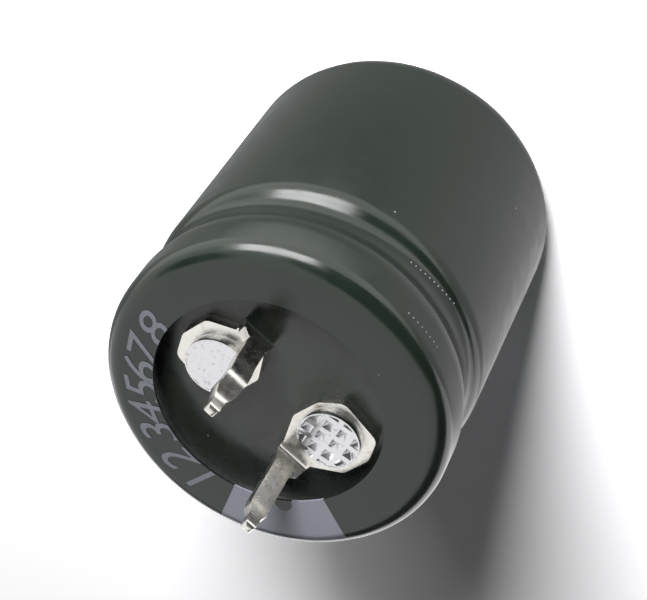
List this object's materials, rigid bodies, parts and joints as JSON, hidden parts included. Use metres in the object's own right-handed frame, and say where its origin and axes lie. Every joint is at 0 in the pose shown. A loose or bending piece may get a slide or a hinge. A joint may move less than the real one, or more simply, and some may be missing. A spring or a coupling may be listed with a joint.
{
  "type": "electrolytic capacitor",
  "caption": "Snap-in electrolytic capacitor: sleeved aluminium can with a rolled bead, a recessed seal, and riveted terminals whose kinked blades stand above the rim.",
  "frame": {"origin": "middle of the closed end, on the surface that the sleeve's fold stands on", "axes": "+Z along the can's axis from the closed end to the terminals; +X from the can's axis to the negative terminal's blade; +Y completes the right-handed frame"},
  "size_m": [0.0254, 0.0254, 0.0371],
  "materials": {
    "sleeve": "semi-gloss heat-shrink film",
    "can": "drawn satin",
    "seal_rubber": "smooth matte",
    "seal_board": "pressed laminate",
    "terminal": "bright tin plate",
    "rivet": "pressed bright",
    "washer": "stamped",
    "tab": "rolled foil strip",
    "winding": "paper soaked with electrolyte",
    "winding_tape": "clear amber film"
  },
  "bodies": {
    "root": {"sleeve": "sleeve", "can": "can", "seal_rubber": "seal_rubber", "seal_board": "seal_board", "terminal_negative": "terminal", "terminal_positive": "terminal", "rivet_negative": "rivet", "rivet_positive": "rivet", "washer_negative": "washer", "washer_positive": "washer", "tab_negative": "tab", "tab_positive": "tab", "winding": "winding", "winding_tape": "winding_tape"}
  },
  "joints": []
}
